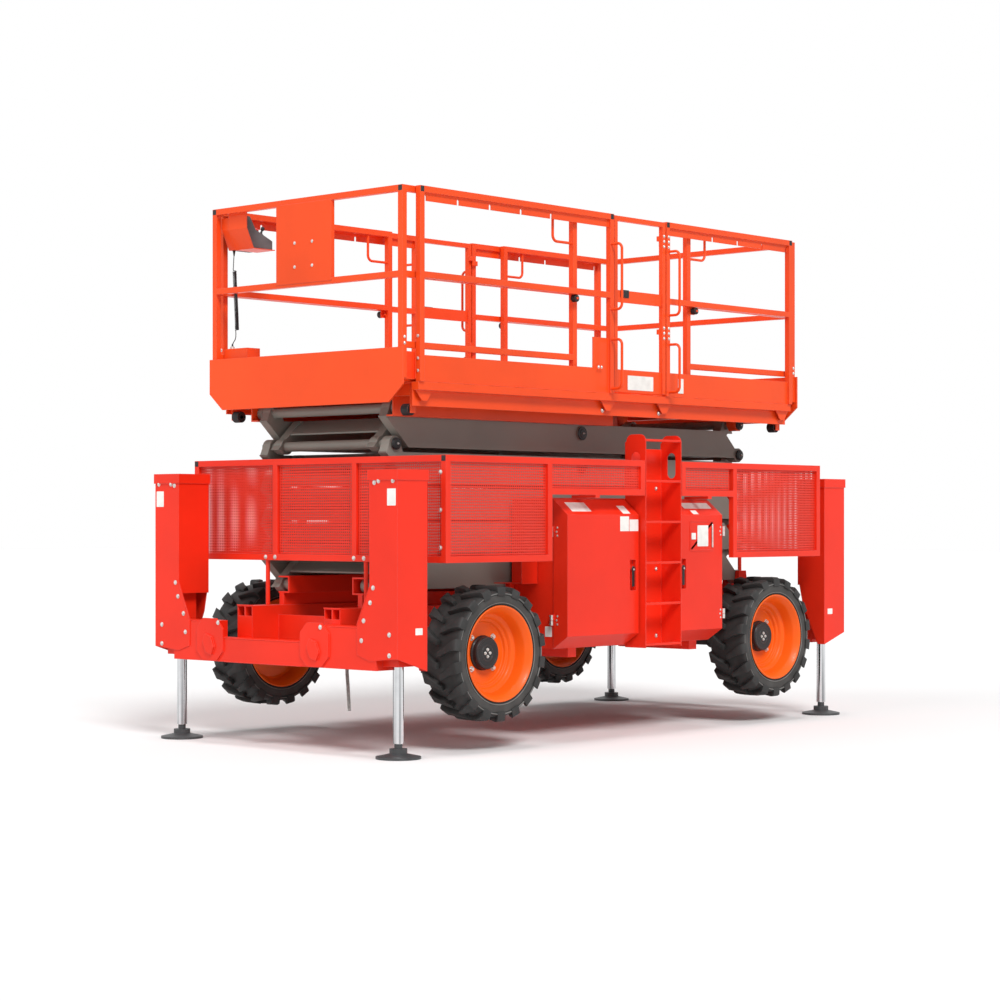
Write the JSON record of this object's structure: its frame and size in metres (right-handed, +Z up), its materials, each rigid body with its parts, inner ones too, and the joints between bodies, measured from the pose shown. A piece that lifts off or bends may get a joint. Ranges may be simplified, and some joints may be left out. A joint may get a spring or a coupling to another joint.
{
  "type": "rough-terrain scissor lift",
  "caption": "Stowed rough-terrain scissor lift on outrigger jacks, with a folding arm stack, sliding platform decks, gates, steered wheels and lockers.",
  "frame": {"origin": "on the ground under the middle of the machine", "axes": "+X to the front, +Y to the left side, +Z up"},
  "size_m": [4.63, 2.298, 3.424],
  "materials": {
    "chassis_red": "gloss",
    "axle_black": "satin",
    "guard_red": "gloss",
    "engine": "matte",
    "steel": "polished",
    "tyre": "matte",
    "rim": "gloss",
    "arm_grey": "satin",
    "platform_red": "gloss",
    "control_grey": "matte",
    "cord": "matte"
  },
  "bodies": {
    "chassis": {"chassis_frame": "chassis_red", "outrigger_beams": "chassis_red", "jack_columns": "chassis_red", "front_axle": "axle_black", "rear_axle": "axle_black", "guard_frames": "guard_red", "guard_mesh": "guard_red", "cabinet_left": "chassis_red", "cabinet_right": "chassis_red", "engine_block": "engine", "ladders": "chassis_red"},
    "inner_1": {"inner_arms_1": "arm_grey"},
    "outer_1": {"outer_arms_1": "arm_grey"},
    "inner_2": {"inner_arms_2": "arm_grey"},
    "outer_2": {"outer_arms_2": "arm_grey"},
    "inner_3": {"inner_arms_3": "arm_grey"},
    "outer_3": {"outer_arms_3": "arm_grey"},
    "inner_4": {"inner_arms_4": "arm_grey"},
    "outer_4": {"outer_arms_4": "arm_grey"},
    "inner_5": {"inner_arms_5": "arm_grey"},
    "outer_5": {"outer_arms_5": "arm_grey"},
    "platform": {"platform_deck": "platform_red", "platform_rails": "platform_red"},
    "lower_barrel": {"lower_barrel": "arm_grey"},
    "lower_rod": {"lower_rod": "steel"},
    "upper_barrel": {"upper_barrel": "arm_grey"},
    "upper_rod": {"upper_rod": "steel"},
    "knuckle_left": {"knuckle_left": "axle_black"},
    "knuckle_right": {"knuckle_right": "axle_black"},
    "tie_rod": {"tie_rod": "steel"},
    "wheel_front_left": {"tyre_front_left": "tyre", "rim_front_left": "rim"},
    "jack_front_left": {"jack_front_left": "steel"},
    "wheel_front_right": {"tyre_front_right": "tyre", "rim_front_right": "rim"},
    "jack_front_right": {"jack_front_right": "steel"},
    "wheel_rear_left": {"tyre_rear_left": "tyre", "rim_rear_left": "rim"},
    "jack_rear_left": {"jack_rear_left": "steel"},
    "wheel_rear_right": {"tyre_rear_right": "tyre", "rim_rear_right": "rim"},
    "jack_rear_right": {"jack_rear_right": "steel"},
    "door_left_front": {"door_left_front": "chassis_red"},
    "door_left_rear": {"door_left_rear": "chassis_red"},
    "gate_left": {"gate_left": "platform_red"},
    "door_right_front": {"door_right_front": "chassis_red"},
    "door_right_rear": {"door_right_rear": "chassis_red"},
    "gate_right": {"gate_right": "platform_red"},
    "front_extension": {"front_extension_deck": "platform_red", "front_extension_rails": "platform_red", "control_box": "control_grey", "control_cord": "cord"},
    "rear_extension": {"rear_extension_deck": "platform_red", "rear_extension_rails": "platform_red"}
  },
  "joints": [
    {"name": "lift", "type": "hinge", "parent": "chassis", "child": "outer_1", "pos_m": [-1.72, 0, 1], "axis": [0, -1, 0], "range_deg": [0, 54.9]},
    {"name": "scissor_front_1", "type": "hinge", "parent": "outer_1", "child": "inner_2", "pos_m": [1.79, 0, 1.22], "axis": [0, -1, 0], "range_deg": [-110.3, 0]},
    {"name": "scissor_rear_2", "type": "hinge", "parent": "inner_2", "child": "outer_3", "pos_m": [-1.72, 0, 1.44], "axis": [0, -1, 0], "range_deg": [0, 110.3]},
    {"name": "scissor_front_3", "type": "hinge", "parent": "outer_3", "child": "inner_4", "pos_m": [1.79, 0, 1.66], "axis": [0, -1, 0], "range_deg": [-110.3, 0]},
    {"name": "scissor_rear_4", "type": "hinge", "parent": "inner_4", "child": "outer_5", "pos_m": [-1.72, 0, 1.88], "axis": [0, -1, 0], "range_deg": [0, 110.3]},
    {"name": "scissor_mid_1", "type": "hinge", "parent": "outer_1", "child": "inner_1", "pos_m": [0.035, 0, 1.11], "axis": [0, -1, 0], "range_deg": [-110.3, 0]},
    {"name": "scissor_mid_2", "type": "hinge", "parent": "inner_2", "child": "outer_2", "pos_m": [0.035, 0, 1.33], "axis": [0, -1, 0], "range_deg": [0, 110.3]},
    {"name": "scissor_mid_3", "type": "hinge", "parent": "outer_3", "child": "inner_3", "pos_m": [0.035, 0, 1.55], "axis": [0, -1, 0], "range_deg": [-110.3, 0]},
    {"name": "scissor_mid_4", "type": "hinge", "parent": "inner_4", "child": "outer_4", "pos_m": [0.035, 0, 1.77], "axis": [0, -1, 0], "range_deg": [0, 110.3]},
    {"name": "scissor_mid_5", "type": "hinge", "parent": "outer_5", "child": "inner_5", "pos_m": [0.035, 0, 1.99], "axis": [0, -1, 0], "range_deg": [-110.3, 0]},
    {"name": "platform_level", "type": "hinge", "parent": "inner_5", "child": "platform", "pos_m": [-1.72, 0, 2.1], "axis": [0, -1, 0], "range_deg": [0, 55.15]},
    {"name": "lower_cylinder_swing", "type": "hinge", "parent": "inner_1", "child": "lower_barrel", "pos_m": [-0.565, 0, 1.14761], "axis": [0, -1, 0], "range_deg": [0, 120.85]},
    {"name": "lower_cylinder_rod", "type": "slide", "parent": "lower_barrel", "child": "lower_rod", "axis": [0.9928, 0, 0.1198], "range_m": [0, 0.8671]},
    {"name": "upper_cylinder_swing", "type": "hinge", "parent": "inner_3", "child": "upper_barrel", "pos_m": [-0.565, 0, 1.58761], "axis": [0, -1, 0], "range_deg": [0, 120.85]},
    {"name": "upper_cylinder_rod", "type": "slide", "parent": "upper_barrel", "child": "upper_rod", "axis": [0.9928, 0, 0.1198], "range_m": [0, 0.8671]},
    {"name": "steering", "type": "hinge", "parent": "chassis", "child": "knuckle_left", "pos_m": [1.425, 0.64, 0.594], "axis": [0, 0, 1], "range_deg": [-28, 28]},
    {"name": "steering_right", "type": "hinge", "parent": "chassis", "child": "knuckle_right", "pos_m": [1.425, -0.64, 0.594], "axis": [0, 0, 1], "range_deg": [-28.5, 28.5]},
    {"name": "tie_rod_turn", "type": "hinge", "parent": "knuckle_left", "child": "tie_rod", "pos_m": [1.235, 0.64, 0.514], "axis": [0, 0, 1], "range_deg": [-28.5, 28.5]},
    {"name": "wheel_front_left_spin", "type": "hinge", "parent": "knuckle_left", "child": "wheel_front_left", "pos_m": [1.425, 0.985, 0.594], "axis": [0, 1, 0], "continuous": true},
    {"name": "jack_front_left_slide", "type": "slide", "parent": "chassis", "child": "jack_front_left", "axis": [0, 0, 1], "range_m": [0, 0.4]},
    {"name": "wheel_front_right_spin", "type": "hinge", "parent": "knuckle_right", "child": "wheel_front_right", "pos_m": [1.425, -0.985, 0.594], "axis": [0, 1, 0], "continuous": true},
    {"name": "jack_front_right_slide", "type": "slide", "parent": "chassis", "child": "jack_front_right", "axis": [0, 0, 1], "range_m": [0, 0.4]},
    {"name": "wheel_rear_left_spin", "type": "hinge", "parent": "chassis", "child": "wheel_rear_left", "pos_m": [-1.425, 0.985, 0.594], "axis": [0, 1, 0], "continuous": true},
    {"name": "jack_rear_left_slide", "type": "slide", "parent": "chassis", "child": "jack_rear_left", "axis": [0, 0, 1], "range_m": [0, 0.4]},
    {"name": "wheel_rear_right_spin", "type": "hinge", "parent": "chassis", "child": "wheel_rear_right", "pos_m": [-1.425, -0.985, 0.594], "axis": [0, 1, 0], "continuous": true},
    {"name": "jack_rear_right_slide", "type": "slide", "parent": "chassis", "child": "jack_rear_right", "axis": [0, 0, 1], "range_m": [0, 0.4]},
    {"name": "door_left_front_hinge", "type": "hinge", "parent": "chassis", "child": "door_left_front", "pos_m": [0.784, 0.9775, 1.07], "axis": [0, 0, -1], "range_deg": [0, 100]},
    {"name": "door_left_rear_hinge", "type": "hinge", "parent": "chassis", "child": "door_left_rear", "pos_m": [-0.854, 1.1, 1.07], "axis": [0, 0, 1], "range_deg": [0, 100]},
    {"name": "gate_left_hinge", "type": "hinge", "parent": "platform", "child": "gate_left", "pos_m": [-0.457, 0.868, 2.8], "axis": [0, 0, -1], "range_deg": [0, 90]},
    {"name": "door_right_front_hinge", "type": "hinge", "parent": "chassis", "child": "door_right_front", "pos_m": [0.784, -0.9775, 1.07], "axis": [0, 0, 1], "range_deg": [0, 100]},
    {"name": "door_right_rear_hinge", "type": "hinge", "parent": "chassis", "child": "door_right_rear", "pos_m": [-0.854, -1.1, 1.07], "axis": [0, 0, -1], "range_deg": [0, 100]},
    {"name": "gate_right_hinge", "type": "hinge", "parent": "platform", "child": "gate_right", "pos_m": [-0.457, -0.868, 2.8], "axis": [0, 0, 1], "range_deg": [0, 90]},
    {"name": "front_extension_slide", "type": "slide", "parent": "platform", "child": "front_extension", "axis": [1, 0, 0], "range_m": [0, 1.2]},
    {"name": "rear_extension_slide", "type": "slide", "parent": "platform", "child": "rear_extension", "axis": [-1, 0, 0], "range_m": [0, 0.9]}
  ],
  "couplings": [
    {"joint": "scissor_front_1", "follows": "lift", "ratio": -2},
    {"joint": "scissor_rear_2", "follows": "lift", "ratio": 2},
    {"joint": "scissor_front_3", "follows": "lift", "ratio": -2},
    {"joint": "scissor_rear_4", "follows": "lift", "ratio": 2},
    {"joint": "scissor_mid_1", "follows": "lift", "ratio": -2},
    {"joint": "scissor_mid_2", "follows": "lift", "ratio": 2},
    {"joint": "scissor_mid_3", "follows": "lift", "ratio": -2},
    {"joint": "scissor_mid_4", "follows": "lift", "ratio": 2},
    {"joint": "scissor_mid_5", "follows": "lift", "ratio": -2},
    {"joint": "platform_level", "follows": "lift", "ratio": 1},
    {"joint": "lower_cylinder_swing", "follows": "lift", "ratio": 2.1922},
    {"joint": "lower_cylinder_rod", "follows": "lift", "m_per_rad": 0.89977},
    {"joint": "upper_cylinder_swing", "follows": "lift", "ratio": 2.1922},
    {"joint": "upper_cylinder_rod", "follows": "lift", "m_per_rad": 0.89977},
    {"joint": "steering_right", "follows": "steering", "ratio": 1},
    {"joint": "tie_rod_turn", "follows": "steering", "ratio": -1}
  ]
}
